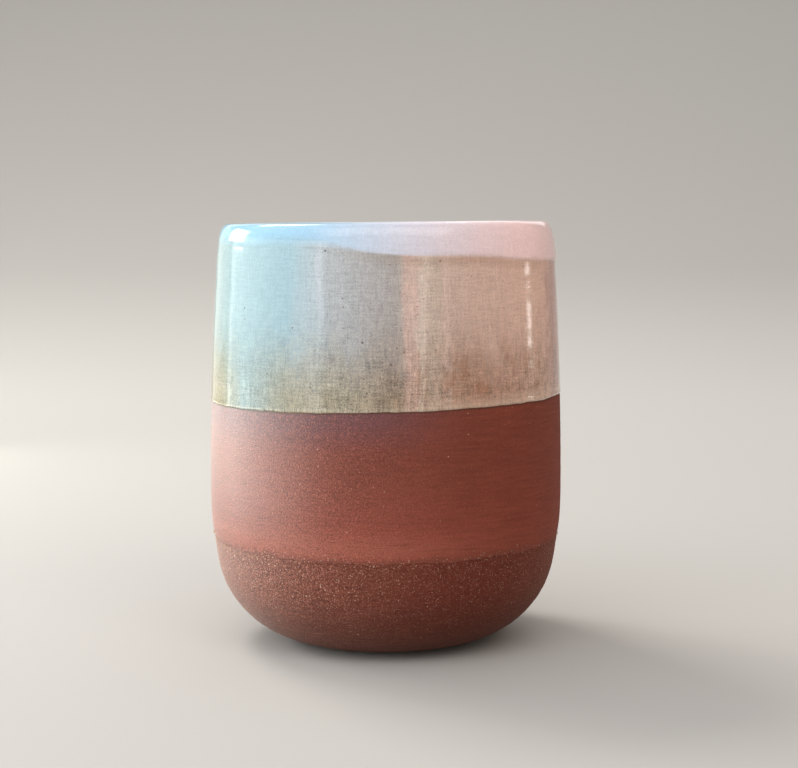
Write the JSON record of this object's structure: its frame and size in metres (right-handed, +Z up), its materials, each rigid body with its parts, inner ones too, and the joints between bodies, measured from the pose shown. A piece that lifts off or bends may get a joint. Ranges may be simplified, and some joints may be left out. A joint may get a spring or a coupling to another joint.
{
  "type": "thrown stoneware cup",
  "caption": "Handleless round drinking cup of red stoneware with a rounded heel, bare trimmed foot, satin slip band, milky dipped glaze and a double-dipped lip.",
  "frame": {"origin": "on the table, under the middle of the foot", "axes": "+Z up along the cup's axis; the picture looks along +Y with +X to its right"},
  "size_m": [0.086, 0.086, 0.1021],
  "materials": {
    "red_stoneware": "matt, trimmed, with pale grog grains",
    "satin_slip": "smooth satin",
    "milky_glaze": "glossy, streaked and speckled",
    "pale_rim_glaze": "glossy, paler where the two dips overlap"
  },
  "bodies": {
    "root": {"clay_body": "red_stoneware", "slip_coat": "satin_slip", "liner_glaze": "milky_glaze", "outer_glaze": "milky_glaze", "rim_glaze": "pale_rim_glaze"}
  },
  "joints": []
}
